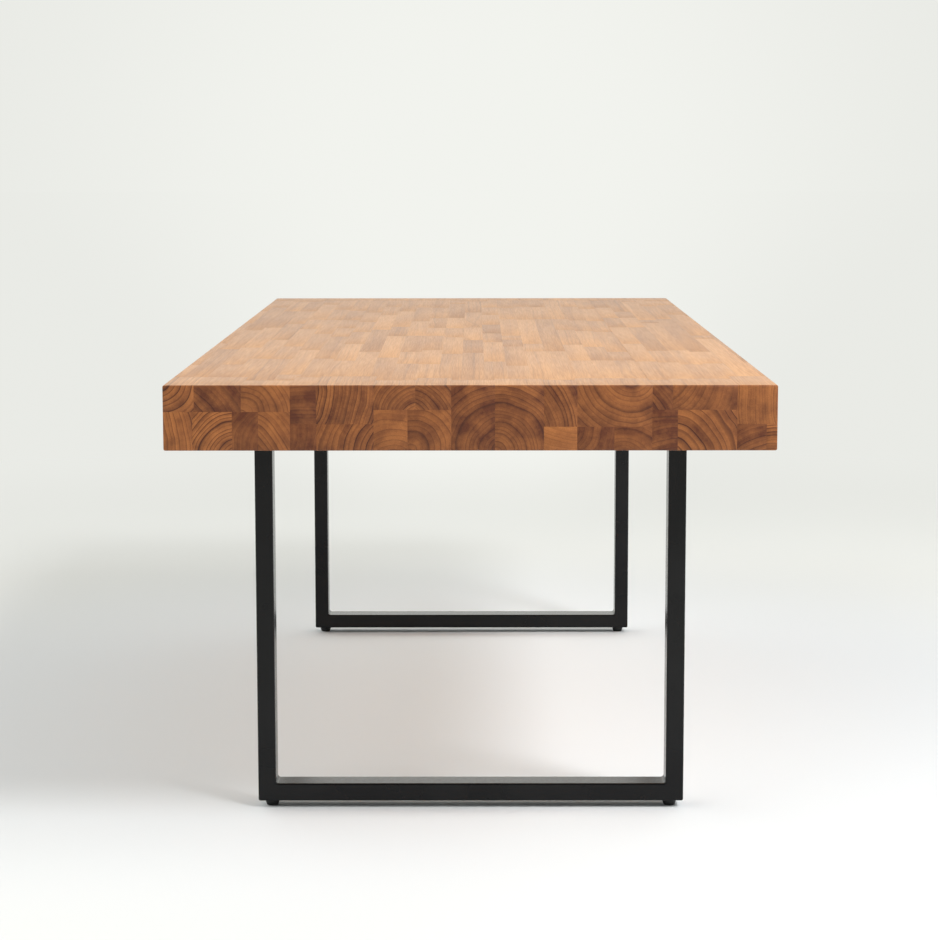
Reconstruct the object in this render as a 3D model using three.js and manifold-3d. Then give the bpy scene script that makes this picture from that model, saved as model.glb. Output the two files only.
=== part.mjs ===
// A butcher block dining table: a thick slab glued up from timber staves, standing on two hoops of
// rectangular steel tube. Each hoop is bolted on through a flat plate and stands on two screw glides.
//
// Millimetres, +Z up. The table's length runs along Y, its width along X, and the floor is Z = 0.

import * as THREE from "three";
import { mergeVertices } from "three/addons/utils/BufferGeometryUtils.js";
import Module from "manifold-3d";

const wasm = await Module();
wasm.setup();

// The whole table.
const tableHeight = 750;
const slabLength = 2200;
const slabThickness = 101;
const slabEdgeRadius = 3;
const hoopInset = 317;
const hoopWidth = 720;

// The hoops' tube. Its narrow face is what the ends of the table show.
const tubeFace = 30;
const tubeDepth = 50;
const tubeWall = 2.5;
const tubeCornerRadius = 3;
const weldGap = 0.2;

// The flat plate between a hoop and the slab, and the bolts that go up through it.
const plateThickness = 5;
const plateLength = 660;
const plateDepth = 100;
const plateCornerRadius = 8;
const boltSpreadX = 512;
const boltSpreadY = 74;
const boltRadius = 4;
const boltGrip = 32;
const boltHeadHeight = 5.5;
const boltFlangeRadius = 8.5;
const boltFlangeHeight = 1.6;
const plateHoleRadius = 4.6;

// The screw glides.
const hexAcrossFlats = 13;
const glideHeight = 12;
const glideInset = 22;
const padHeight = 9;
const padRadius = 12;
const padFloorRadius = 10;
const socketRadius = 4.4;
const socketDepth = 5;
const stemRadius = 4;
const stemTop = 37;
const nutHeight = 6.5;

// Parts that are cut by a neighbour, or turn inside one, keep this clear of it.
const clearance = 0.35;

const light = 0xb07a48;
const middle = 0x8f5a36;
const dark = 0x55301f;
const blackCoat = 0x1c1c1d;
const zinc = 0x9a9c9e;
const blackPlastic = 0x151515;

// The glue-up from the left edge to the right. A bay is the run between two seams that go right
// through the slab, and seam is the depth below the top of the joint between its two layers. A bay
// with no seam is one full-depth stave. Each stave is its width and the tone of its timber.
const bays = [
  {
    seam: 41,
    upper: [[48, middle], [72, dark], [75, light]],
    lower: [[45, light], [61, middle], [40, dark], [49, light]],
  },
  { seam: 60, upper: [[40, dark]], lower: [[40, dark]] },
  { seam: 60, upper: [[88, middle]], lower: [[88, middle]] },
  { seam: 38, upper: [[64, light], [55, middle]], lower: [[52, light], [67, middle]] },
  { full: [67, dark] },
  { full: [75, middle] },
  { seam: 64, upper: [[51, dark]], lower: [[51, light]] },
  { seam: 64, upper: [[115, middle]], lower: [[57, dark], [58, middle]] },
  { seam: 38, upper: [[31, dark], [99, middle]], lower: [[39, dark], [91, middle]] },
  { seam: 60, upper: [[62, light]], lower: [[45, dark], [17, middle]] },
];

const widthOf = (bay) => (bay.full ? bay.full[0] : bay.upper.reduce((sum, [width]) => sum + width, 0));
const slabWidth = bays.reduce((sum, bay) => sum + widthOf(bay), 0);
const slabUnderside = tableHeight - slabThickness;
const plateUnderside = slabUnderside - plateThickness;
const hoopHeight = plateUnderside - glideHeight;
const hoopY = slabLength / 2 - hoopInset - tubeDepth / 2;
const glideX = hoopWidth / 2 - glideInset;
const hexRadius = hexAcrossFlats / Math.sqrt(3);

const steel = { roughness: 0.4, metalness: 1 };
const timber = { roughness: 0.6, metalness: 0 };
const coating = { roughness: 0.55, metalness: 0.1 };
const plastic = { roughness: 0.7, metalness: 0 };

const table = new THREE.Group();

function addMesh(parent, name, geometry, colour, surface) {
  const mesh = new THREE.Mesh(geometry, new THREE.MeshStandardMaterial({ color: colour, ...surface }));
  mesh.name = name;
  parent.add(mesh);
  return mesh;
}

// Between three.js geometry and manifold-3d solids, for the cuts and joins.
function solidOf(geometry) {
  const bare = geometry.clone();
  bare.deleteAttribute("normal");
  bare.deleteAttribute("uv");
  const merged = mergeVertices(bare);
  const vertProperties = merged.attributes.position.array;
  const triVerts = new Uint32Array(merged.index.array);
  return new wasm.Manifold(new wasm.Mesh({ numProp: 3, vertProperties, triVerts }));
}

function geometryOf(solid) {
  const { vertProperties, triVerts } = solid.getMesh();
  const geometry = new THREE.BufferGeometry();
  geometry.setAttribute("position", new THREE.BufferAttribute(vertProperties, 3));
  geometry.setIndex(new THREE.BufferAttribute(triVerts, 1));
  geometry.computeVertexNormals();
  return geometry;
}

// An upright cylinder or prism between two heights.
function column(radius, bottom, top, sides, x = 0, y = 0) {
  const geometry = new THREE.CylinderGeometry(radius, radius, top - bottom, sides);
  geometry.rotateX(Math.PI / 2);
  geometry.translate(x, y, (bottom + top) / 2);
  return geometry;
}

function box(left, right, front, back, bottom, top) {
  const geometry = new THREE.BoxGeometry(right - left, back - front, top - bottom);
  geometry.translate((left + right) / 2, (front + back) / 2, (bottom + top) / 2);
  return geometry;
}

function roundedRectangle(Outline, width, depth, radius) {
  const x = width / 2;
  const y = depth / 2;
  const outline = new Outline();
  outline.moveTo(-x + radius, -y);
  outline.lineTo(x - radius, -y);
  outline.absarc(x - radius, -y + radius, radius, -Math.PI / 2, 0);
  outline.lineTo(x, y - radius);
  outline.absarc(x - radius, y - radius, radius, 0, Math.PI / 2);
  outline.lineTo(-x + radius, y);
  outline.absarc(-x + radius, y - radius, radius, Math.PI / 2, Math.PI);
  outline.lineTo(-x, -y + radius);
  outline.absarc(-x + radius, -y + radius, radius, Math.PI, 1.5 * Math.PI);
  return outline;
}

// The slab as one block with its edges eased. Every stave is a part of this block.
function slabBlock() {
  const inner = 1;
  const shrink = 2 * slabEdgeRadius;
  const plan = roundedRectangle(THREE.Shape, slabWidth - shrink, slabLength - shrink, inner);
  const geometry = new THREE.ExtrudeGeometry(plan, {
    depth: slabThickness - shrink,
    bevelSize: slabEdgeRadius,
    bevelThickness: slabEdgeRadius,
    bevelSegments: 2,
    curveSegments: 2,
  });
  geometry.translate(0, 0, slabUnderside + slabEdgeRadius);
  return solidOf(geometry);
}

const cornerSigns = [
  ["front_left", -1, -1],
  ["front_right", 1, -1],
  ["back_left", -1, 1],
  ["back_right", 1, 1],
];

// The bolts of both hoops, as names and places.
const bolts = [];
for (const [end, endSign] of [["front", -1], ["back", 1]]) {
  for (const [corner, xSign, ySign] of cornerSigns) {
    const x = (xSign * boltSpreadX) / 2;
    const y = endSign * hoopY + (ySign * boltSpreadY) / 2;
    bolts.push({ name: `${end}_plate_bolt_${corner}`, x, y });
  }
}

// The pilot holes that the bolts run in, all together.
function pilotHoles() {
  const top = slabUnderside + boltGrip + clearance;
  const holes = bolts.map(({ x, y }) =>
    solidOf(column(boltRadius + clearance, slabUnderside - clearance, top, 12, x, y)));
  return holes.reduce((all, hole) => all.add(hole));
}

function addSlab() {
  const block = slabBlock();
  const holes = pilotHoles();
  const counts = { upper: 0, lower: 0, full: 0 };
  const addStave = (layer, left, width, bottom, top, colour) => {
    counts[layer] += 1;
    const reach = slabLength / 2;
    const run = solidOf(box(left, left + width, -reach, reach, bottom, top));
    const stave = block.intersect(run).subtract(holes);
    const number = String(counts[layer]).padStart(2, "0");
    addMesh(table, `${layer}_stave_${number}`, geometryOf(stave), colour, timber);
  };
  const addLayer = (layer, staves, left, bottom, top) => {
    for (const [width, colour] of staves) {
      addStave(layer, left, width, bottom, top, colour);
      left += width;
    }
  };
  let left = -slabWidth / 2;
  for (const bay of bays) {
    if (bay.full) {
      addLayer("full", [bay.full], left, slabUnderside, tableHeight);
    } else {
      addLayer("upper", bay.upper, left, tableHeight - bay.seam, tableHeight);
      addLayer("lower", bay.lower, left, slabUnderside, tableHeight - bay.seam);
    }
    left += widthOf(bay);
  }
}

// One side of a hoop along +Z from its outer corner, mitred at both ends. +X is the hoop's outside.
function mitredTube(length) {
  const section = roundedRectangle(THREE.Shape, tubeFace, tubeDepth, tubeCornerRadius);
  const face = tubeFace - 2 * tubeWall;
  const depth = tubeDepth - 2 * tubeWall;
  section.holes.push(roundedRectangle(THREE.Path, face, depth, tubeCornerRadius / 3));
  const geometry = new THREE.ExtrudeGeometry(section, { depth: length, bevelEnabled: false, curveSegments: 3 });
  const position = geometry.attributes.position;
  for (let i = 0; i < position.count; i++) {
    const inset = tubeFace / 2 - position.getX(i) + weldGap;
    position.setZ(i, position.getZ(i) === 0 ? inset : length - inset);
  }
  geometry.translate(-tubeFace / 2, 0, 0);
  geometry.computeVertexNormals();
  return geometry;
}

// The holes in the floor rail's underside that the glide stems screw up through.
function stemHoles(rail, railLength) {
  let solid = solidOf(rail);
  for (const along of [glideInset, railLength - glideInset]) {
    const hole = new THREE.CylinderGeometry(stemRadius + clearance, stemRadius + clearance, 2 * tubeWall, 16);
    hole.rotateZ(Math.PI / 2);
    hole.translate(-tubeWall / 2, 0, along);
    solid = solid.subtract(solidOf(hole));
  }
  return geometryOf(solid);
}

// The four sides go round the hoop, each a quarter turn on from the last.
function addHoop(end, y) {
  const x = hoopWidth / 2;
  const bottom = glideHeight;
  const top = bottom + hoopHeight;
  const sides = [
    ["right_upright", hoopHeight, x, bottom, 0],
    ["top_rail", hoopWidth, x, top, -1],
    ["left_upright", hoopHeight, -x, top, -2],
    ["floor_rail", hoopWidth, -x, bottom, -3],
  ];
  for (const [name, length, cornerX, cornerZ, quarters] of sides) {
    const tube = mitredTube(length);
    const geometry = name === "floor_rail" ? stemHoles(tube, length) : tube;
    const side = addMesh(table, `${end}_${name}`, geometry, blackCoat, coating);
    side.rotation.y = (quarters * Math.PI) / 2;
    side.position.set(cornerX, y, cornerZ);
  }
}

function addPlate(end, y) {
  const outline = roundedRectangle(THREE.Shape, plateLength, plateDepth, plateCornerRadius);
  for (const [, xSign, ySign] of cornerSigns) {
    const hole = new THREE.Path();
    hole.absarc((xSign * boltSpreadX) / 2, (ySign * boltSpreadY) / 2, plateHoleRadius, 0, 2 * Math.PI);
    outline.holes.push(hole);
  }
  const options = { depth: plateThickness, bevelEnabled: false, curveSegments: 6 };
  const plate = addMesh(table, `${end}_plate`, new THREE.ExtrudeGeometry(outline, options), blackCoat, coating);
  plate.position.set(0, y, plateUnderside);
}

// A flanged hex bolt whose head bears on the plate from below.
function addBolt({ name, x, y }) {
  const flangeBottom = plateUnderside - boltFlangeHeight;
  const headBottom = flangeBottom - boltHeadHeight;
  const head = solidOf(column(hexRadius, headBottom, plateUnderside, 6, x, y));
  const flange = solidOf(column(boltFlangeRadius, flangeBottom, plateUnderside, 20, x, y));
  const shank = solidOf(column(boltRadius, headBottom, slabUnderside + boltGrip, 12, x, y));
  addMesh(table, name, geometryOf(head.add(flange).add(shank)), zinc, steel);
}

// The round foot pad, with a blind socket in its top for the end of the stem.
function padGeometry() {
  const rim = 2;
  const profile = [
    [0, 0],
    [padFloorRadius, 0],
    [padFloorRadius + 0.7 * rim, 0.5 * rim],
    [padRadius, 2 * rim],
    [padRadius, padHeight - 0.5 * rim],
    [padRadius - 0.5 * rim, padHeight],
    [socketRadius, padHeight],
    [socketRadius, padHeight - socketDepth],
    [0, padHeight - socketDepth],
  ];
  return new THREE.LatheGeometry(profile.map(([r, z]) => new THREE.Vector2(r, z)), 32).rotateX(Math.PI / 2);
}

// The stem: a spigot in the pad, a hex to turn it by, and the screw up into the rail.
function stemGeometry() {
  const spigotBottom = padHeight - socketDepth + clearance;
  const hex = solidOf(column(hexRadius, padHeight, glideHeight, 6));
  const screw = solidOf(column(stemRadius, spigotBottom, stemTop, 16));
  return geometryOf(hex.add(screw));
}

function nutGeometry() {
  const outline = new THREE.Shape();
  for (let i = 0; i < 6; i++) {
    const angle = (i * Math.PI) / 3;
    const corner = [hexRadius * Math.cos(angle), hexRadius * Math.sin(angle)];
    if (i === 0) outline.moveTo(...corner);
    else outline.lineTo(...corner);
  }
  const bore = new THREE.Path();
  bore.absarc(0, 0, stemRadius + clearance, 0, 2 * Math.PI);
  outline.holes.push(bore);
  return new THREE.ExtrudeGeometry(outline, { depth: nutHeight, bevelEnabled: false, curveSegments: 8 });
}

// A glide under one corner of a hoop, and the nut that is welded inside the rail above it.
function addGlide(corner, x, y) {
  const glide = new THREE.Group();
  glide.position.set(x, y, 0);
  table.add(glide);
  addMesh(glide, `${corner}_glide_pad`, padGeometry(), blackPlastic, plastic);
  addMesh(glide, `${corner}_glide_stem`, stemGeometry(), zinc, steel);
  const nut = addMesh(glide, `${corner}_weld_nut`, nutGeometry(), zinc, steel);
  nut.position.z = glideHeight + tubeWall;
}

addSlab();
for (const [end, endSign] of [["front", -1], ["back", 1]]) {
  addHoop(end, endSign * hoopY);
  addPlate(end, endSign * hoopY);
}
bolts.forEach(addBolt);
for (const [corner, xSign, ySign] of cornerSigns) addGlide(corner, xSign * glideX, ySign * hoopY);

export default table;
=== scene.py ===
"""A butcher block table: a slab of timber blocks on two powder-coated steel hoops, in a pale studio.

Everything is in metres in the frame's own axes: the table's length is along Y and the floor is Z = 0.
"""

import math
import random

import bmesh
import bpy
from mathutils import Euler, Matrix, Vector


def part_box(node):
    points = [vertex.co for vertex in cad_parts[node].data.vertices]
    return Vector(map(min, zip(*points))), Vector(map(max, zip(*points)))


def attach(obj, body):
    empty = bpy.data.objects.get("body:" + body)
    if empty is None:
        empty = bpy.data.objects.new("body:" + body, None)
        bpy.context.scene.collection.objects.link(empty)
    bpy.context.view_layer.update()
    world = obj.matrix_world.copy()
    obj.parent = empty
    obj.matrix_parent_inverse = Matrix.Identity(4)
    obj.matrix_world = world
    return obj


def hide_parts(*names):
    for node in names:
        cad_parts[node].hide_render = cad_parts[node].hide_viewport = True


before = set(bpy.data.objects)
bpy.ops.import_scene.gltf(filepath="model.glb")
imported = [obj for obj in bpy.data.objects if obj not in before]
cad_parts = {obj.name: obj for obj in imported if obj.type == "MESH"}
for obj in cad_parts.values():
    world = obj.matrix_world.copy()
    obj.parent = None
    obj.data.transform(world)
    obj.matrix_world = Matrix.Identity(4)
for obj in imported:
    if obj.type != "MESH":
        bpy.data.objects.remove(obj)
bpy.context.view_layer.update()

MM = 0.001
CORNERS = ("front_left", "front_right", "back_left", "back_right")
STAVES = sorted(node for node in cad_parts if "_stave_" in node)

# ---------------------------------------------------------------- the slab's timber

SLAB_LOW = Vector(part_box("lower_stave_01")[0])
SLAB_HIGH = Vector(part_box("upper_stave_12")[1])
EDGE_RADIUS = 3.0 * MM          # the easing round the slab's outer edges
SEAM_WIDTH = 0.3 * MM           # half of the fine groove where two blocks meet
SEAM_DEPTH = 0.1 * MM
SHORTEST_BLOCK = 0.24
LONGEST_BLOCK = 0.54
END_BLOCK_LENGTHS = (0.07, 0.15)    # from the shortest to the longest block at an end of the slab

# Between the blocks at its ends, the upper layer is glued up from narrow strips of one width.
STRIP_COUNT = 27
STRIP_WIDTH = 36.67 * MM
FIRST_STRIP_WIDTH = 17.0 * MM
STRIP_MIDDLE_DEPTH = 30.0 * MM      # how far the strips' middles are below the top
CLOSED_GAP = 0.06                   # a shorter gap before one of TOP_BLOCKS is closed by that block
SHORTEST_STRIP = 0.04               # a shorter piece of strip goes with the block next to it

# The blocks that end at the front face, as their end grain shows them. Each is the place of the
# tree's heart from the block's middle (mm across, mm up), the growth rings' spacing (mm), how light
# the timber is (0 to 1) and how strongly its rings show (0 to 1.5). How light each is wasn't first
# chosen by hand: it started as the block's measured mean brightness.
FRONT_BLOCKS = {
    "upper_stave_01": (-28, 24, 8, 0.52, 1.1),
    "upper_stave_02": (-86, -68, 8, 0.24, 0.85),
    "upper_stave_03": (-38, -28, 9, 0.56, 0.7),
    "upper_stave_04": (5, -160, 6, 0.12, 0.5),
    "upper_stave_05": (-120, 25, 6, 0.42, 1.3),
    "upper_stave_06": (45, -40, 6, 0.42, 1.2),
    "upper_stave_07": (-35, -35, 6, 0.40, 0.9),
    "full_stave_01": (45, -48, 7, 0.22, 0.65),
    "full_stave_02": (-34, -52, 6, 0.34, 0.75),
    "upper_stave_08": (-110, -45, 7, 0.40, 1.0),
    "upper_stave_09": (25, 52, 8, 0.44, 0.7),
    "upper_stave_10": (-60, -45, 6, 0.11, 1.1),
    "upper_stave_11": (-60, 30, 7, 0.39, 0.55),
    "upper_stave_12": (150, 10, 4.5, 0.64, 0.6),
    "lower_stave_01": (-140, -20, 7, 0.74, 1.2),
    "lower_stave_02": (45, -50, 6, 0.70, 1.3),
    "lower_stave_03": (60, -30, 6, 0.26, 0.7),
    "lower_stave_04": (-60, -60, 7, 0.62, 0.85),
    "lower_stave_05": (-80, 10, 7, 0.15, 0.6),
    "lower_stave_06": (110, -45, 8, 0.44, 1.2),
    "lower_stave_07": (0, -60, 8, 0.56, 0.45),
    "lower_stave_08": (-28, -32, 9, 0.46, 0.65),
    "lower_stave_09": (30, 140, 6, 0.92, 0.6),
    "lower_stave_10": (-50, 20, 7, 0.27, 0.5),
    "lower_stave_11": (-15, -45, 7, 0.31, 0.55),
    "lower_stave_12": (20, -150, 6, 0.14, 0.65),
    "lower_stave_13": (-60, -45, 11, 0.52, 1.5),
    "lower_stave_14": (50, -100, 7, 0.32, 0.8),
    "lower_stave_15": (0, -120, 6, 0.36, 1.3),
}

# How light the sides of those blocks are: this much, and this much more from the deepest to the palest.
FRONT_SIDE_TONE = 0.35
FRONT_SIDE_RANGE = 0.35

# Blocks that stand out on the top. Each strip, counted from the left, has where some of its blocks
# start and end along the table (m) and how light each is (0 to 1). The rest are random.
TOP_BLOCKS = {
    1: ((-0.95, -0.42, 0.30), (0.05, 0.75, 0.25)),
    2: ((0.12, 0.62, 0.22),),
    3: ((-0.62, -0.20, 0.62), (0.62, 0.98, 0.25)),
    4: ((0.08, 0.35, 0.68),),
    5: ((-0.92, -0.44, 0.78),),
    6: ((-0.62, -0.12, 0.35), (0.10, 0.34, 0.40)),
    7: ((-0.66, -0.30, 0.86), (-0.30, 0.00, 0.55)),
    8: ((-0.95, -0.48, 0.74), (-0.48, 0.06, 0.10), (0.06, 0.49, 0.95)),
    9: ((-0.60, -0.11, 0.88), (-0.11, 0.14, 0.30)),
    10: ((-0.48, -0.10, 0.35), (0.30, 0.75, 0.42)),
    11: ((-0.44, -0.10, 0.45), (-0.10, 0.11, 0.80)),
    12: ((-1.05, -0.52, 0.45), (0.10, 0.40, 0.84), (0.40, 0.88, 0.35)),
    13: ((-1.05, -0.50, 0.40), (-0.46, -0.21, 0.10), (-0.21, 0.12, 0.82)),
    14: ((-1.05, -0.68, 0.42), (-0.64, -0.26, 0.66), (-0.04, 0.20, 0.04), (0.50, 0.75, 0.60)),
    15: ((-1.05, -0.76, 0.48), (-0.74, -0.36, 0.45), (-0.36, -0.20, 0.05), (-0.10, 0.36, 0.72)),
    16: ((-1.00, -0.47, 0.85), (-0.30, 0.35, 0.86)),
    17: ((-1.00, -0.47, 0.72), (-0.47, 0.36, 0.30)),
    18: ((-0.66, -0.32, 0.78), (0.36, 1.00, 0.74)),
    19: ((-0.66, -0.37, 0.25), (-0.37, 0.02, 0.85)),
    20: ((-0.66, -0.48, 0.30), (0.00, 0.30, 0.45)),
    21: ((-0.68, -0.30, 0.66), (-0.30, 0.12, 0.72), (0.40, 0.74, 0.70)),
    22: ((-0.46, 0.12, 0.20), (0.40, 0.60, 0.15)),
    23: ((-0.74, -0.45, 0.90), (-0.45, 0.24, 0.50), (0.24, 0.33, 0.02), (0.36, 0.95, 0.68)),
    24: ((-0.48, 0.36, 0.15),),
    25: ((-1.02, -0.18, 0.96), (-0.10, 0.50, 0.66)),
    26: ((-0.70, -0.05, 0.25),),
}

# ---------------------------------------------------------------- the hoops and their feet

TUBE_FACE = 30.0 * MM
TUBE_DEPTH = 50.0 * MM
TUBE_EDGE = 3.0 * MM
TUBE_WALL = 2.5 * MM
WELD_FILLET = 5.0 * MM
STEM_HOLE = 4.6 * MM
FACET = 0.25 * MM               # the narrow strip beside each rounded edge that keeps faces flat

# The pad's outline as (radius, height) in mm: out along its underside, up, and into the stem's socket.
PAD_PROFILE = (
    (0.0, 0.0), (8.8, 0.0), (9.5, 0.2), (9.9, 0.8), (10.3, 2.2), (11.1, 4.6), (11.8, 6.8), (12.0, 7.8),
    (11.9, 8.5), (11.4, 9.0), (4.8, 9.0), (4.4, 8.7), (4.4, 4.0), (0.0, 4.0),
)
STEM_RADIUS = 4.0 * MM
HEX_ACROSS_FLATS = 13.0 * MM
HEAD_HEIGHT = 5.5 * MM
FLANGE_HEIGHT = 1.6 * MM
SCREW_PITCH = 1.25 * MM
SCREW_DEPTH = 0.55 * MM
SCREW_STEPS = 5                 # rings of vertices for each turn of the thread

# ---------------------------------------------------------------- camera, floor and light

# Where the camera stands, how it is turned and its lens come from a fit to the table's straight edges.
CAMERA_PLACE = Vector((0.0058, -4.833, 1.1086))
CAMERA_DOWN = math.radians(7.467)
CAMERA_LEFT = math.radians(0.118)
CAMERA_ROLL = math.radians(-0.05)
CAMERA_LENS = 94.14             # mm, on a 36 mm wide sensor
STUDIO = (0.820, 0.829, 0.790)  # the studio's pale light, which is also its backdrop
FLOOR_RADIUS = 60.0
# Round the table the floor's colour is painted cooler: the tint cancels the warm light that the timber
# bounces onto the floor in the table's shade.
FLOOR_NEAR_PAINTED_COOL = (0.780, 0.805, 0.830, 1.0)     # the floor is a little cooler round the table,
FLOOR_FAR = (0.797, 0.80, 0.785, 1.0)       # and a little warmer away from it
FLOOR_CHANGE = (0.9, 2.0)       # how far from the table's middle it turns from one to the other
FLOOR_FADE = (1.7, 4.2)         # how far from the table's middle it fades into the backdrop
GLOW = 0.081                    # how much brighter the backdrop is straight behind the table
GLOW_EDGES = (0.04, 0.22)       # the slopes away from straight behind between which that dies away

# The walls above the backdrop, in bands. Each has the heights between which it starts and those between
# which it ends, as sines of the angle up, and its brightness to the right, left, back and front, where
# the backdrop's is 1. These brightnesses weren't chosen by hand: they are a least-squares fit's, two of
# them changed since (the lowest band's and the highest band's back).
WALL_BANDS = (
    ((0.15, 0.21), (0.33, 0.41), (0.0, 0.0, 2.05, 0.0)),
    ((0.33, 0.41), (0.58, 0.66), (2.23, 5.23, 1.59, 0.0)),
    ((0.58, 0.66), (0.82, 0.90), (0.0, 0.0, 2.65, 0.43)),
)

# Round softboxes, two at the right and a weak one at the left: degrees round from +X towards the
# front, degrees up, width (m) and power (W).
SOFTBOX_AIM = Vector((0.0, -0.2, 0.4))
SOFTBOX_DISTANCE = 4.5
SOFTBOXES = ((48, 42, 1.1, 106), (22, 44, 2.2, 57), (160, 50, 2.6, 27))


def set_camera():
    data = bpy.data.cameras.new("camera")
    data.sensor_fit = "HORIZONTAL"
    data.sensor_width = 36.0
    data.lens = CAMERA_LENS
    camera = bpy.data.objects.new("camera", data)
    camera.location = CAMERA_PLACE
    aim = Euler((math.pi / 2 - CAMERA_DOWN, 0.0, CAMERA_LEFT)).to_matrix()
    camera.rotation_euler = (aim @ Matrix.Rotation(CAMERA_ROLL, 3, "Z")).to_euler()
    bpy.context.scene.collection.objects.link(camera)
    bpy.context.scene.camera = camera


def add_softbox(azimuth, elevation, width, power):
    """A round soft light, aimed at the table."""
    turn, rise = math.radians(azimuth), math.radians(elevation)
    level = math.cos(rise)
    away = Vector((math.cos(turn) * level, -math.sin(turn) * level, math.sin(rise)))
    data = bpy.data.lights.new("softbox", "AREA")
    data.shape = "DISK"
    data.size = width
    data.energy = power
    light = bpy.data.objects.new("softbox", data)
    light.location = SOFTBOX_AIM + away * SOFTBOX_DISTANCE
    light.rotation_euler = (-away).to_track_quat("-Z", "Y").to_euler()
    bpy.context.scene.collection.objects.link(light)


# ---------------------------------------------------------------- node helpers

class Nodes:
    """Adds nodes to a tree: each call sets or links one node's inputs and gives its output."""

    def __init__(self, tree):
        self.tree = tree

    def put(self, socket, value):
        if isinstance(value, bpy.types.NodeSocket):
            self.tree.links.new(value, socket)
        else:
            socket.default_value = value

    def add(self, kind, inputs, output=0, **settings):
        node = self.tree.nodes.new(kind)
        for key, value in settings.items():
            setattr(node, key, value)
        for key, value in inputs.items():
            self.put(node.inputs[key], value)
        return node.outputs[output]

    def math(self, operation, a, b=0.0, clamp=False):
        return self.add("ShaderNodeMath", {0: a, 1: b}, operation=operation, use_clamp=clamp)

    def vector(self, operation, a, b=(0.0, 0.0, 0.0), output=0):
        return self.add("ShaderNodeVectorMath", {0: a, 1: b}, output, operation=operation)

    def split(self, vector):
        node = self.tree.nodes.new("ShaderNodeSeparateXYZ")
        self.put(node.inputs[0], vector)
        return node.outputs

    def join(self, x, y, z):
        return self.add("ShaderNodeCombineXYZ", {0: x, 1: y, 2: z})

    def remap(self, value, low, high, to_low=0.0, to_high=1.0):
        """A smooth step: to_low up to low, and to_high from high on."""
        inputs = {"Value": value, "From Min": low, "From Max": high, "To Min": to_low, "To Max": to_high}
        return self.add("ShaderNodeMapRange", inputs, interpolation_type="SMOOTHSTEP")

    def noise(self, place, detail=2.0, roughness=0.5, scale=1.0, output="Fac"):
        inputs = {"Vector": place, "Scale": scale, "Detail": detail, "Roughness": roughness}
        return self.add("ShaderNodeTexNoise", inputs, output)

    def line_noise(self, along, detail=1.0):
        inputs = {"W": along, "Scale": 1.0, "Detail": detail}
        return self.add("ShaderNodeTexNoise", inputs, "Fac", noise_dimensions="1D")

    def mix(self, amount, a, b, blend="MIX"):
        node = self.tree.nodes.new("ShaderNodeMix")
        node.data_type = "RGBA"
        node.blend_type = blend
        self.put(node.inputs["Factor"], amount)
        self.put(node.inputs["A"], a)
        self.put(node.inputs["B"], b)
        return node.outputs["Result"]

    def tint(self, amount, colour, tint):
        """The colour, multiplied by the tint by the amount."""
        return self.mix(amount, colour, tint, "MULTIPLY")

    def place(self):
        return self.add("ShaderNodeTexCoord", {}, "Object")

    def attribute(self, name):
        return self.add("ShaderNodeAttribute", {}, "Vector", attribute_name=name)


class Finish(Nodes):
    """A material whose nodes end at one surface shader."""

    def __init__(self, name):
        self.material = bpy.data.materials.new(name)
        self.material.use_nodes = True
        super().__init__(self.material.node_tree)
        self.shader = self.tree.nodes["Principled BSDF"]

    def set(self, **values):
        for key, value in values.items():
            self.put(self.shader.inputs[key.replace("_", " ")], value)

    def bump(self, height, distance, strength):
        inputs = {"Height": height, "Distance": distance, "Strength": strength}
        self.put(self.shader.inputs["Normal"], self.add("ShaderNodeBump", inputs))


def set_world():
    """Light from all round the studio: a pale backdrop to about 10 degrees up, then bands of wall."""
    world = bpy.data.worlds.new("studio")
    world.use_nodes = True
    n = Nodes(world.node_tree)
    across, along, up = n.split(n.add("ShaderNodeTexCoord", {}, "Generated"))[:3]

    # How far each direction is towards each of the four sides. Seen level, the shares add up to 1.
    level = n.math("MAXIMUM", n.math("SUBTRACT", 1.0, n.math("MULTIPLY", up, up)), 0.01)
    ways = (across, n.math("MULTIPLY", across, -1.0), along, n.math("MULTIPLY", along, -1.0))
    shares = []
    for way in ways:
        ahead = n.math("MAXIMUM", way, 0.0)
        shares.append(n.math("DIVIDE", n.math("MULTIPLY", ahead, ahead), level))

    aside = n.vector("LENGTH", n.join(across, 0.0, up), output="Value")
    backdrop = n.remap(aside, *GLOW_EDGES, 1.0 + GLOW, 1.0)
    total = n.math("MULTIPLY", n.remap(up, *WALL_BANDS[0][0], 1.0, 0.0), backdrop)
    for start, end, strengths in WALL_BANDS:
        band = n.math("MULTIPLY", n.remap(up, *start), n.remap(up, *end, 1.0, 0.0))
        for share, strength in zip(shares, strengths):
            part = n.math("MULTIPLY", n.math("MULTIPLY", share, band), strength)
            total = n.math("ADD", total, part)
    background = world.node_tree.nodes["Background"]
    n.put(background.inputs["Color"], (*STUDIO, 1.0))
    n.put(background.inputs["Strength"], total)
    bpy.context.scene.world = world
    bpy.context.scene.view_settings.view_transform = "Standard"


# ---------------------------------------------------------------- materials

# The timber's palest and deepest colours along the grain and on end grain, and the tints of its
# rings and pores, which multiply them by as much as the ring or the pore shows.
LONG_PALE = (0.54, 0.255, 0.082, 1.0)
LONG_DEEP = (0.36, 0.155, 0.046, 1.0)
END_PALE = (0.433, 0.154, 0.0405, 1.0)
END_DEEP = (0.117, 0.0280, 0.0069, 1.0)
RING_TINT = (0.29, 0.20, 0.155, 1.0)
PORE_TINT = (0.62, 0.54, 0.48, 1.0)


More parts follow.
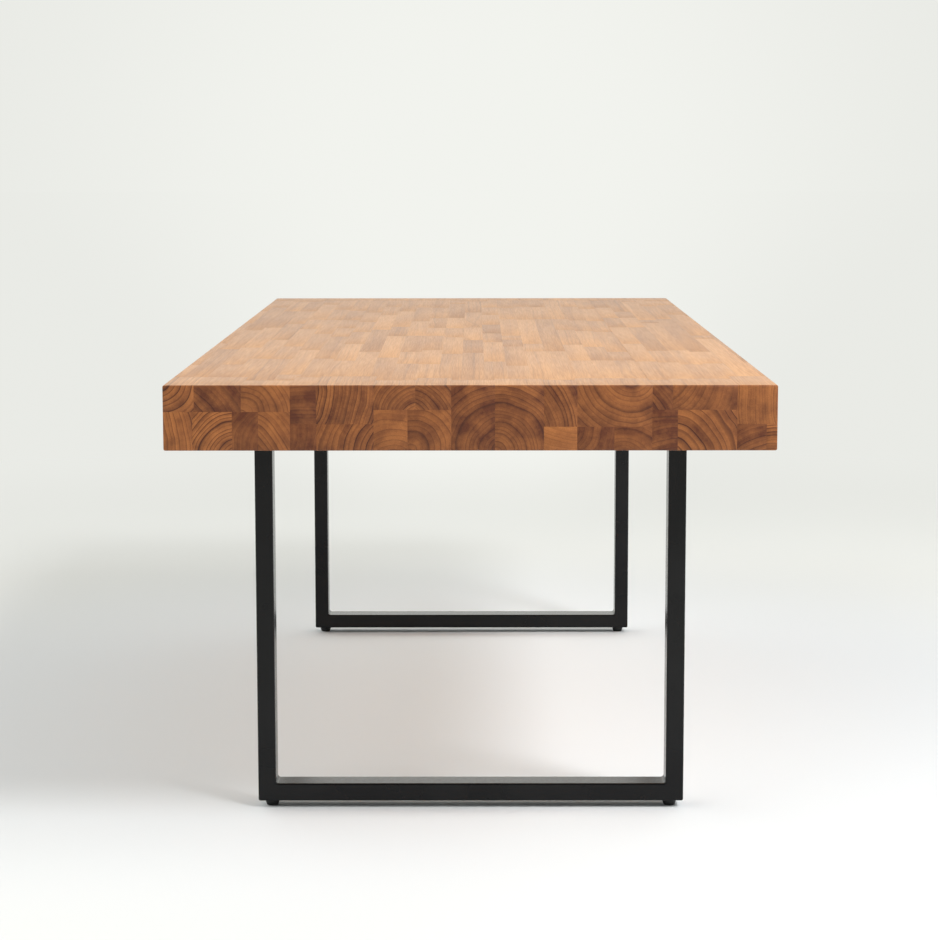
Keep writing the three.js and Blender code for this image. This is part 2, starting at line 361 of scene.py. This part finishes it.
def timber_material():
    """Oiled timber whose growth rings run through the block: lines on its sides, arcs on its ends."""
    n = Finish("oiled_timber")
    place = n.place()
    heart_x, spacing, heart_z = n.split(n.attribute("rings"))[:3]
    end_tone, side_tone, strength = n.split(n.attribute("look"))[:3]
    seed = n.add("ShaderNodeAttribute", {}, "Fac", attribute_name="seed")
    shifted = n.vector("ADD", place, n.join(seed, seed, seed))
    facing = n.split(n.add("ShaderNodeNewGeometry", {}, "True Normal"))
    end = n.remap(n.math("ABSOLUTE", facing[1]), 0.10, 0.50)

    # The trunk wanders slowly along its length and its rings are never quite round or evenly spaced.
    # Each year ends in a dark line of late wood, and some years' lines are darker than others.
    wander = n.noise(n.vector("MULTIPLY", shifted, (12.0, 1.3, 12.0)), detail=2.0, output="Color")
    sway = n.vector("MULTIPLY", n.vector("SUBTRACT", wander, (0.5, 0.5, 0.5)), (0.018, 0.0, 0.018))
    x, y, z = n.split(n.vector("ADD", place, sway))[:3]
    across = n.math("SUBTRACT", x, heart_x)
    up = n.math("SUBTRACT", z, heart_z)
    radius = n.math("SQRT", n.math("ADD", n.math("MULTIPLY", across, across), n.math("MULTIPLY", up, up)))
    plain_years = n.math("ADD", n.math("DIVIDE", radius, spacing), n.math("MULTIPLY", seed, 3.1))
    uneven = n.math("MULTIPLY", n.line_noise(n.math("MULTIPLY", plain_years, 0.6)), 1.1)
    years = n.math("ADD", plain_years, uneven)
    year = n.math("FRACT", years)
    year_number = n.math("FLOOR", years)
    this_year = n.add("ShaderNodeTexWhiteNoise", {"W": year_number}, "Value", noise_dimensions="1D")
    late_wood = n.math("ADD", n.remap(year, 0.25, 0.95, 0.0, 0.25), n.remap(year, 0.70, 0.92, 0.0, 0.75))
    late_wood = n.math("MULTIPLY", late_wood, n.remap(year, 0.95, 1.0, 1.0, 0.0))
    ring = n.math("MULTIPLY", late_wood, n.remap(this_year, 0.0, 1.0, 0.40, 1.0))
    ring = n.math("MULTIPLY", ring, n.math("MULTIPLY", strength, n.remap(end, 0.0, 1.0, 0.45, 1.0)))

    # Some runs of years are paler than others, most of all where rings are strong. Fibres, streaks and
    # open pores run along the block, so their noise is fine across it and long along it.
    bands = n.line_noise(n.math("MULTIPLY", plain_years, 0.42), detail=2.0)
    fibre = n.noise(n.vector("MULTIPLY", shifted, (900.0, 14.0, 900.0)), detail=3.0, roughness=0.6)
    streak = n.noise(n.vector("MULTIPLY", shifted, (150.0, 2.5, 150.0)), detail=3.0, roughness=0.55)
    cloud = n.noise(n.vector("MULTIPLY", shifted, (30.0, 4.0, 30.0)), detail=2.0)
    drift = n.math("MULTIPLY", n.remap(bands, 0.30, 0.70, -0.21, 0.21), strength)
    drift = n.math("ADD", drift, n.remap(cloud, 0.30, 0.70, -0.20, 0.20))
    drift = n.math("ADD", drift, n.remap(streak, 0.25, 0.75, -0.10, 0.10))
    side_lightness = n.math("ADD", side_tone, drift, clamp=True)
    end_lightness = n.math("ADD", end_tone, drift, clamp=True)

    side_colour = n.mix(side_lightness, LONG_DEEP, LONG_PALE)
    end_colour = n.mix(end_lightness, END_DEEP, END_PALE)
    colour = n.tint(ring, n.mix(end, side_colour, end_colour), RING_TINT)
    colour = n.tint(n.remap(fibre, 0.60, 0.40, 0.0, 0.42), colour, PORE_TINT)

    rough = n.math("ADD", n.remap(fibre, 0.3, 0.7, 0.50, 0.42), n.math("MULTIPLY", end, 0.10))
    n.set(Base_Color=colour, Roughness=rough)
    n.set(Specular_IOR_Level=0.40)
    n.bump(n.math("SUBTRACT", fibre, n.math("MULTIPLY", ring, 0.35)), 0.0001, 0.5)
    return n.material


def powder_coat_material():
    n = Finish("black_powder_coat")
    place = n.place()
    grain = n.noise(place, scale=1400.0)
    waves = n.noise(place, detail=1.0, scale=220.0)
    dust = n.remap(n.noise(place, detail=3.0, scale=9.0), 0.3, 0.7)
    n.set(Base_Color=n.mix(dust, (0.0045, 0.0045, 0.005, 1.0), (0.0075, 0.0075, 0.008, 1.0)))
    n.set(Roughness=n.remap(waves, 0.3, 0.7, 0.19, 0.24))
    n.set(Specular_IOR_Level=0.21)
    n.bump(n.math("ADD", grain, n.math("MULTIPLY", waves, 0.8)), 0.000015, 0.2)
    return n.material


def zinc_material():
    n = Finish("zinc_plate")
    cloud = n.noise(n.place(), detail=3.0, scale=160.0)
    n.set(Base_Color=n.mix(cloud, (0.42, 0.43, 0.45, 1.0), (0.62, 0.62, 0.60, 1.0)))
    n.set(Metallic=1.0)
    n.set(Roughness=n.remap(cloud, 0.3, 0.7, 0.28, 0.46))
    n.bump(cloud, 0.00004, 0.5)
    return n.material


def plastic_material():
    n = Finish("moulded_black_plastic")
    place = n.place()
    grain = n.noise(place, scale=2600.0)
    scuffs = n.remap(n.noise(n.vector("MULTIPLY", place, (60.0, 60.0, 900.0)), detail=3.0), 0.5, 0.8)
    n.set(Base_Color=n.mix(scuffs, (0.010, 0.010, 0.010, 1.0), (0.022, 0.022, 0.022, 1.0)))
    n.set(Roughness=n.remap(grain, 0.3, 0.7, 0.42, 0.54))
    n.set(Specular_IOR_Level=0.4)
    n.bump(grain, 0.00005, 0.6)
    return n.material


def floor_material():
    """Pale floor that fades into the backdrop's own light far from the table."""
    n = Finish("studio_floor")
    place = n.place()
    distance = n.vector("LENGTH", place, output="Value")
    # The floor's cooler colour round the table is painted, to cancel the timber's warm bounce light.
    n.set(Base_Color=n.mix(n.remap(distance, *FLOOR_CHANGE), FLOOR_NEAR_PAINTED_COOL, FLOOR_FAR), Roughness=0.9)
    n.set(Specular_IOR_Level=0.1)
    far = n.remap(distance, *FLOOR_FADE)
    aside = n.math("DIVIDE", n.math("ABSOLUTE", n.split(place)[0]), distance)
    glow = n.add("ShaderNodeEmission", {"Color": (*STUDIO, 1.0)})
    n.put(glow.node.inputs["Strength"], n.remap(aside, *GLOW_EDGES, 1.0 + GLOW, 1.0))
    surface = n.add("ShaderNodeMixShader", {0: far, 1: n.shader.outputs[0], 2: glow})
    n.put(n.tree.nodes["Material Output"].inputs["Surface"], surface)
    return n.material


# ---------------------------------------------------------------- meshes

SHARP_ANGLE = 25                # degrees between two faces from which their edge is drawn sharp


def add_object(name, shape, material, sharp_angle=SHARP_ANGLE):
    mesh = bpy.data.meshes.new(name)
    shape.to_mesh(mesh)
    shape.free()
    mesh.shade_smooth()
    mesh.set_sharp_from_angle(angle=math.radians(sharp_angle))
    mesh.materials.append(material)
    obj = bpy.data.objects.new(name, mesh)
    bpy.context.scene.collection.objects.link(obj)
    return obj


def add_piece(name, shape, material, body, nodes, sharp_angle=SHARP_ANGLE):
    """Makes a piece that rides a body and stands for those CAD nodes."""
    piece = add_object(name, shape, material, sharp_angle)
    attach(piece, body)
    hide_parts(*nodes)
    return piece


def add_floor():
    shape = bmesh.new()
    bmesh.ops.create_circle(shape, cap_ends=True, radius=FLOOR_RADIUS, segments=96)
    add_object("floor", shape, floor_material())


# ---------------------------------------------------------------- timber blocks

class Block:
    """One piece of timber: its corners, what its grain looks like, and whether each side is a joint."""

    def __init__(self, low, high, grain, joints=(True, True)):
        self.low, self.high = Vector(low), Vector(high)
        self.grain = grain
        self.outer = [[self.low[i] - SLAB_LOW[i] < MM, SLAB_HIGH[i] - self.high[i] < MM] for i in range(3)]
        self.joint = [[not self.outer[i][end] for end in (0, 1)] for i in range(3)]
        self.joint[0] = [self.joint[0][end] and joints[end] for end in (0, 1)]

    def lines(self, axis):
        """Where the block's faces are divided along an axis: finely where they are rounded or grooved."""
        rounded = sum(any(self.outer[i]) for i in range(3)) > 1
        ends = []
        for end, at, inwards in ((0, self.low[axis], 1), (1, self.high[axis], -1)):
            steps = [0.0]
            if self.outer[axis][end] and rounded:
                steps = [EDGE_RADIUS * step for step in (0.0, 0.12, 0.30, 0.55, 1.0)]
            elif self.joint[axis][end]:
                steps = [0.0, SEAM_WIDTH]
            ends.append([at + inwards * step for step in steps])
        return ends[0] + ends[1][::-1]


def eased(point, sunk):
    """Rounds the slab's outer edges, and sinks a point that is on a joint a little into the groove."""
    inner = [
        max(SLAB_LOW[i] + EDGE_RADIUS, min(SLAB_HIGH[i] - EDGE_RADIUS, point[i])) for i in range(3)
    ]
    out = point - Vector(inner)
    if out.length > EDGE_RADIUS:
        out *= EDGE_RADIUS / out.length
    if sunk and out.length > SEAM_DEPTH:
        out *= 1.0 - SEAM_DEPTH / out.length
    return Vector(inner) + out


def add_block(shape, layers, block):
    """Adds one closed block, gridded on its faces so that its edges can be eased."""
    lines = [block.lines(axis) for axis in range(3)]
    last = [len(line) - 1 for line in lines]
    heart_x, heart_z, spacing, end_tone, side_tone, strength, seed = block.grain
    vertices = {}

    def vertex(key):
        if key not in vertices:
            point = Vector([lines[i][key[i]] for i in range(3)])
            ends = [(i, 0 if key[i] == 0 else 1) for i in range(3) if key[i] in (0, last[i])]
            sunk = any(block.joint[i][end] for i, end in ends)
            made = shape.verts.new(eased(point, sunk))
            made[layers["rings"]] = (heart_x, spacing, heart_z)
            made[layers["look"]] = (end_tone, side_tone, strength)
            made[layers["seed"]] = seed
            vertices[key] = made
        return vertices[key]

    for axis in range(3):
        a, b = (axis + 1) % 3, (axis + 2) % 3
        for end in (0, last[axis]):
            for i in range(last[a]):
                for j in range(last[b]):
                    keys = []
                    for step_a, step_b in ((0, 0), (1, 0), (1, 1), (0, 1)):
                        key = [0, 0, 0]
                        key[axis], key[a], key[b] = end, i + step_a, j + step_b
                        keys.append(tuple(key))
                    if end == 0:
                        keys.reverse()
                    shape.faces.new([vertex(key) for key in keys])


def cut_lengths(chance, start, end):
    """Joints from start to end at the random lengths that short timber comes in."""
    joints = [start]
    while end - joints[-1] > LONGEST_BLOCK:
        step = chance.uniform(SHORTEST_BLOCK, LONGEST_BLOCK)
        left = end - joints[-1] - step
        if left < SHORTEST_BLOCK:
            step -= SHORTEST_BLOCK - left
        joints.append(joints[-1] + step)
    return joints + [end]


def chance_grain(chance, middle, side_tone=None):
    """Random grain for a block with that middle (x, z). A tone that is given isn't random."""
    angle = chance.uniform(0.0, 2.0 * math.pi)
    distance = chance.uniform(0.030, 0.140)
    heart = (middle[0] + distance * math.cos(angle), middle[1] + distance * math.sin(angle))
    if side_tone is None:
        side_tone = min(0.8, max(0.2, chance.gauss(0.50, 0.12)))
    spacing = chance.uniform(5.0, 9.0) * MM
    end_tone = chance.uniform(0.1, 0.8)
    strength = chance.uniform(0.3, 0.8)
    seed = chance.uniform(0.0, 5.0)
    return (*heart, spacing, end_tone, side_tone, strength, seed)


def strip_blocks(number):
    """A strip's blocks along the table: where each starts and ends, and its grain."""
    chance = random.Random(f"strip {number}")
    middle_x = SLAB_LOW.x + FIRST_STRIP_WIDTH + (number - 0.5) * STRIP_WIDTH
    middle = (middle_x, SLAB_HIGH.z - STRIP_MIDDLE_DEPTH)
    blocks = []
    at = SLAB_LOW.y
    for start, end, tone in (*TOP_BLOCKS.get(number, ()), (SLAB_HIGH.y, SLAB_HIGH.y, None)):
        joints = [at]
        if start - at > CLOSED_GAP:
            joints = cut_lengths(chance, at, start)
        else:
            start = at
        for front, back in zip(joints, joints[1:]):
            blocks.append((front, back, chance_grain(chance, middle)))
        if tone is not None:
            blocks.append((start, end, chance_grain(chance, middle, tone)))
        at = end
    return blocks


STRIPS = [strip_blocks(number) for number in range(STRIP_COUNT)]


def strip_cuts(low_x, high_x):
    """The strips between two X places: each one's number, its X range, and which sides are joints."""
    cuts = []
    for number in range(STRIP_COUNT):
        left = SLAB_LOW.x + FIRST_STRIP_WIDTH + (number - 1) * STRIP_WIDTH
        right = left + STRIP_WIDTH
        start, end = max(low_x, left), min(high_x, right)
        if end - start > 0.5 * MM:
            cuts.append((number, start, end, (abs(start - left) < 1e-6, abs(end - right) < 1e-6)))
    return cuts


def stave_blocks(name):
    """All the blocks of a stave: one at each end as wide as the stave, and strips or blocks between.

    A lower stave is as wide all along. The strips of an upper or full one go right down through it.
    """
    low, high = (Vector(corner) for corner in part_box(name))
    chance = random.Random(name)
    middle = (low + high) / 2
    front = low.y + chance.uniform(*END_BLOCK_LENGTHS)
    back = high.y - chance.uniform(*END_BLOCK_LENGTHS)
    heart_x, heart_z, spacing, tone, strength = FRONT_BLOCKS[name]
    heart = (middle.x + heart_x * MM, middle.z + heart_z * MM)
    side_tone = FRONT_SIDE_TONE + FRONT_SIDE_RANGE * tone
    front_grain = (*heart, spacing * MM, tone, side_tone, strength, chance.uniform(0.0, 5.0))
    back_grain = chance_grain(chance, (middle.x, middle.z))
    blocks = [
        Block(low, (high.x, front, high.z), front_grain),
        Block((low.x, back, low.z), high, back_grain),
    ]
    if name.startswith("lower"):
        joints = cut_lengths(chance, front, back)
        for start, end in zip(joints, joints[1:]):
            grain = chance_grain(chance, (middle.x, middle.z))
            blocks.append(Block((low.x, start, low.z), (high.x, end, high.z), grain))
        return blocks
    for number, left, right, joints in strip_cuts(low.x, high.x):
        for start, end, grain in STRIPS[number]:
            start = front if start < front + SHORTEST_STRIP else start
            end = back if end > back - SHORTEST_STRIP else end
            if end - start > SHORTEST_STRIP:
                blocks.append(Block((left, start, low.z), (right, end, high.z), grain, joints))
    return blocks


def add_stave(name, material):
    """A stave as its blocks. Each vertex carries its own block's grain, for the timber's nodes to read."""
    shape = bmesh.new()
    layers = {key: shape.verts.layers.float_vector.new(key) for key in ("rings", "look")}
    layers["seed"] = shape.verts.layers.float.new("seed")
    for block in stave_blocks(name):
        add_block(shape, layers, block)
    add_piece(name + "_blocks", shape, material, "table", [name])


# ---------------------------------------------------------------- steel hoops and screw feet

def arc(middle, radius, start, turn, steps):
    """Points round part of a circle, in degrees, anticlockwise when turn is positive."""
    points = []
    for step in range(steps + 1):
        angle = math.radians(start + turn * step / steps)
        points.append(Vector((middle[0] + radius * math.cos(angle), middle[1] + radius * math.sin(angle))))
    return points


def pointing(degrees, length):
    """A vector of that length at that angle."""
    angle = math.radians(degrees)
    return Vector((length * math.cos(angle), length * math.sin(angle)))


def tube_profile(inset):
    """The tube's section as (depth in from the hoop's outside, place along Y), with rounded edges.

    An inset of the wall's thickness gives the tube's inside, whose edges have a smaller radius.
    """
    radius = TUBE_EDGE - inset * 0.6
    low, high = inset, TUBE_FACE - inset
    half = TUBE_DEPTH / 2 - inset
    points = []
    corners = (((high, half), 0), ((low, half), 90), ((low, -half), 180), ((high, -half), 270))
    for (depth, along), start in corners:
        toward = Vector((-1 if depth == high else 1, -1 if along > 0 else 1))
        middle = Vector((depth, along)) + toward * radius
        rounded = arc(middle, radius, start, 90, 4)
        before, after = pointing(start - 90, FACET), pointing(start + 180, FACET)
        points += [rounded[0] + before, *rounded, rounded[-1] + after]
    return points


def sweep_hoop(shape, low, high, inset):
    """Sweeps the tube's section round the hoop: the outer corners are eased and the inner ones filleted."""
    profile = tube_profile(inset)
    middle_y = (low.y + high.y) / 2
    rings = []
    for x, z, start in ((high.x, high.z, 0), (low.x, high.z, 90), (low.x, low.z, 180), (high.x, low.z, 270)):
        toward = Vector((-1 if x == high.x else 1, -1 if z == high.z else 1))
        outer_corner = Vector((x, z))
        inner_corner = outer_corner + toward * TUBE_FACE
        outer = arc(outer_corner + toward * TUBE_EDGE, TUBE_EDGE, start, 90, 4)
        inner = arc(inner_corner + toward * WELD_FILLET, WELD_FILLET, start, 90, 4)
        for outside, inside in zip(outer, inner):
            ring = []
            for depth, along in profile:
                place = outside.lerp(inside, depth / TUBE_FACE)
                ring.append(shape.verts.new((place.x, middle_y + along, place.y)))
            rings.append(ring)
    faces = join_rings(shape, rings + rings[:1])
    bmesh.ops.recalc_face_normals(shape, faces=faces)
    return faces


def join_rings(shape, rings):
    """Faces between each ring of vertices and the next. A ring of one vertex closes an end."""
    faces = []
    for ring, following in zip(rings, rings[1:]):
        for i in range(max(len(ring), len(following))):
            j = i + 1
            corners = [ring[i % len(ring)], ring[j % len(ring)]]
            corners += [following[j % len(following)], following[i % len(following)]]
            corners = [vertex for k, vertex in enumerate(corners) if vertex not in corners[:k]]
            faces.append(shape.faces.new(corners))
    return faces


def stack_rings(shape, middle, rings, sides):
    """A closed solid round an upright axis, from rings of (radius at an angle, height).

    A ring of None is a single point on the axis, which closes an end.
    """
    made = []
    for radius_at, height in rings:
        if radius_at is None:
            made.append([shape.verts.new((middle[0], middle[1], height))])
            continue
        ring = []
        for side in range(sides):
            angle = 2 * math.pi * side / sides
            radius = radius_at(angle)
            x = middle[0] + radius * math.cos(angle)
            y = middle[1] + radius * math.sin(angle)
            ring.append(shape.verts.new((x, y, height)))
        made.append(ring)
    faces = join_rings(shape, made)
    bmesh.ops.recalc_face_normals(shape, faces=faces)


def round_ring(radius):
    return lambda angle: radius


def hex_ring(corner_limit=1.0):
    """A hexagon as wide as the CAD's, its corners cut back to corner_limit metres from the axis."""
    def radius_at(angle):
        turn = (angle + math.pi / 6) % (math.pi / 3) - math.pi / 6
        return min(HEX_ACROSS_FLATS / 2 / math.cos(turn), corner_limit)
    return radius_at


def add_hoop(end, material):
    """One welded hoop: a hollow tube swept round, with a hole for each stem drilled in its underside."""
    nodes = [f"{end}_{part}" for part in ("right_upright", "top_rail", "left_upright", "floor_rail")]
    low = Vector([min(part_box(node)[0][i] for node in nodes) for i in range(3)])
    high = Vector([max(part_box(node)[1][i] for node in nodes) for i in range(3)])
    shape = bmesh.new()
    sweep_hoop(shape, low, high, 0.0)
    hollow = sweep_hoop(shape, low, high, TUBE_WALL)
    bmesh.ops.reverse_faces(shape, faces=hollow)
    hoop = add_piece(f"{end}_hoop", shape, material, "table", nodes)

    drills = bmesh.new()
    for side in ("left", "right"):
        stem_low, stem_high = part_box(f"{end}_{side}_glide_stem")
        middle = (stem_low + stem_high) / 2
        hole = round_ring(STEM_HOLE)
        under, over = low.z - MM, low.z + (TUBE_WALL + MM)
        rings = [(None, under), (hole, under), (hole, over), (None, over)]
        stack_rings(drills, middle, rings, sides=24)
    drill = add_object("drill", drills, material)
    holes = hoop.modifiers.new("holes", "BOOLEAN")
    holes.object = drill
    holes.solver = "EXACT"
    drilled = bpy.data.meshes.new_from_object(hoop.evaluated_get(bpy.context.evaluated_depsgraph_get()))
    hoop.modifiers.clear()
    hoop.data = drilled
    drilled.shade_smooth()
    drilled.set_sharp_from_angle(angle=math.radians(SHARP_ANGLE))
    bpy.data.objects.remove(drill)


def add_bolt(node, material):
    low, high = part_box(node)
    middle = (low + high) / 2
    under_flange = low.z + HEAD_HEIGHT
    under_plate = under_flange + FLANGE_HEIGHT
    rings = (
        (None, low.z + 0.5 * MM),
        (round_ring(3.4 * MM), low.z + 0.5 * MM),
        (round_ring(4.0 * MM), low.z),
        (hex_ring(6.1 * MM), low.z),
        (hex_ring(6.9 * MM), low.z + 0.5 * MM),
        (hex_ring(), low.z + 1.0 * MM),
        (hex_ring(), under_flange),
        (round_ring(8.1 * MM), under_flange + 0.2 * MM),
        (round_ring(8.5 * MM), under_flange + 0.7 * MM),
        (round_ring(8.5 * MM), under_plate),
        (round_ring(4.0 * MM), under_plate),
        (round_ring(4.0 * MM), high.z - 0.8 * MM),
        (round_ring(3.2 * MM), high.z),
        (None, high.z),
    )
    shape = bmesh.new()
    stack_rings(shape, middle, rings, sides=36)
    add_piece(f"{node}_hex_head", shape, material, "table", [node])


def add_pad(corner, material):
    node = f"{corner}_glide_pad"
    low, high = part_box(node)
    middle = (low + high) / 2
    rings = []
    for radius, height in PAD_PROFILE:
        rings.append((round_ring(radius * MM) if radius else None, low.z + height * MM))
    shape = bmesh.new()
    stack_rings(shape, middle, rings, sides=48)
    add_piece(f"{corner}_pad_moulding", shape, material, f"{corner}_pad", [node])


def screw_ring(height):
    """The section of a right-handed screw thread at a height."""
    def radius_at(angle):
        turns = (height / SCREW_PITCH - angle / (2 * math.pi)) % 1.0
        return STEM_RADIUS - SCREW_DEPTH * abs(2 * turns - 1)
    return radius_at


def add_stem(corner, material):
    """A threaded stem, with a hexagon for a spanner between the pad and the rail."""
    node = f"{corner}_glide_stem"
    low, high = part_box(node)
    middle = (low + high) / 2
    pad_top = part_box(f"{corner}_glide_pad")[1].z
    rail_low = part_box(f"{corner.split('_')[0]}_floor_rail")[0].z
    rings = [
        (None, low.z),
        (round_ring(3.5 * MM), low.z),
        (round_ring(STEM_RADIUS), low.z + 0.5 * MM),
        (round_ring(STEM_RADIUS), pad_top),
        (hex_ring(6.9 * MM), pad_top),
        (hex_ring(), pad_top + 0.4 * MM),
        (hex_ring(), rail_low - 0.5 * MM),
        (hex_ring(6.9 * MM), rail_low - 0.1 * MM),
        (round_ring(STEM_RADIUS - SCREW_DEPTH), rail_low - 0.1 * MM),
    ]
    steps = round((high.z - rail_low - 1.0 * MM) / (SCREW_PITCH / SCREW_STEPS))
    for step in range(steps):
        height = rail_low + 0.2 * MM + step * SCREW_PITCH / SCREW_STEPS
        rings.append((screw_ring(height), height))
    rings += [(round_ring(3.1 * MM), high.z), (None, high.z)]
    shape = bmesh.new()
    stack_rings(shape, middle, rings, sides=36)
    add_piece(f"{corner}_threaded_stem", shape, material, f"{corner}_stem", [node], sharp_angle=40)


# ---------------------------------------------------------------- the scene

set_camera()
set_world()
for softbox in SOFTBOXES:
    add_softbox(*softbox)
add_floor()

timber = timber_material()
for stave in STAVES:
    add_stave(stave, timber)

powder_coat = powder_coat_material()
zinc = zinc_material()
plastic = plastic_material()
for table_end in ("front", "back"):
    add_hoop(table_end, powder_coat)
for foot in CORNERS:
    add_pad(foot, plastic)
    add_stem(foot, zinc)
for node_name, node_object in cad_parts.items():
    if "_bolt_" in node_name:
        add_bolt(node_name, zinc)
    elif node_name.endswith("_plate") or node_name.endswith("_weld_nut"):
        node_object.data.materials.clear()
        node_object.data.materials.append(powder_coat if node_name.endswith("_plate") else zinc)
